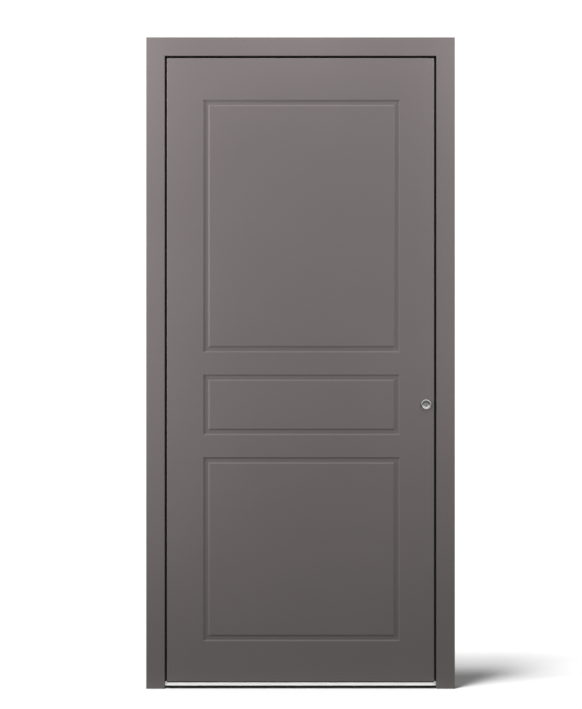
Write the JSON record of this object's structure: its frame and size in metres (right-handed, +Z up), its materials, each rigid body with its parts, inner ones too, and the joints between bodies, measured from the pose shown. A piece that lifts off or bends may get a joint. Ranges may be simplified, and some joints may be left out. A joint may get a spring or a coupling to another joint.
{
  "type": "aluminium front door",
  "caption": "Thermally broken aluminium front door in its frame, with grooved panels, a low threshold, inside hinges and a lever, opening inward",
  "frame": {"origin": "middle of the threshold's underside, halfway through the depth of the frame", "axes": "X to the right as seen from outside, Y from outside into the house, Z up"},
  "size_m": [1, 0.1463, 2.11],
  "materials": {
    "coat": "fine-texture matt powder coat, warm grey",
    "bare_aluminium": "natural anodised, satin",
    "insulating_plastic": "matt black",
    "seal_rubber": "matt black",
    "insulating_board": "mineral fibre board",
    "stainless": "brushed",
    "nickel": "satin nickel"
  },
  "bodies": {
    "frame": {"hinge_jamb_outer": "coat", "hinge_jamb_break": "insulating_plastic", "hinge_jamb_inner": "coat", "hinge_jamb_gasket": "seal_rubber", "head_outer": "coat", "head_break": "insulating_plastic", "head_inner": "coat", "head_gasket": "seal_rubber", "lock_jamb_outer": "coat", "lock_jamb_break": "insulating_plastic", "lock_jamb_inner": "coat", "lock_jamb_gasket": "seal_rubber", "threshold_cap": "bare_aluminium", "threshold_base": "insulating_plastic", "main_strike": "stainless", "hook_strikes": "stainless", "lower_hinge_frame_part": "stainless", "lower_hinge_pin": "stainless", "middle_hinge_frame_part": "stainless", "middle_hinge_pin": "stainless", "upper_hinge_frame_part": "stainless", "upper_hinge_pin": "stainless"},
    "leaf": {"leaf_outer_skin": "coat", "leaf_inner_skin": "coat", "leaf_thermal_break": "insulating_plastic", "leaf_core": "insulating_board", "leaf_bottom_seal": "seal_rubber", "lock_faceplate": "stainless", "latch_bolt": "stainless", "dead_bolt": "stainless", "hook_bolts": "stainless", "lock_cylinder": "nickel", "inside_key_plug": "nickel", "outside_rose": "stainless", "inside_cylinder_rose": "stainless", "lever_rose": "stainless", "inside_lever": "stainless", "lower_hinge_leaf_part": "stainless", "middle_hinge_leaf_part": "stainless", "upper_hinge_leaf_part": "stainless"},
    "plug": {"key_plug": "nickel"}
  },
  "joints": [
    {"name": "leaf_swing", "type": "hinge", "parent": "frame", "child": "leaf", "pos_m": [-0.4555, 0.0515, 1], "axis": [0, 0, 1], "range_deg": [0, 110]},
    {"name": "key_turn", "type": "hinge", "parent": "leaf", "child": "plug", "pos_m": [0.407, -0.03, 0.92], "axis": [0, 1, 0], "continuous": true}
  ]
}
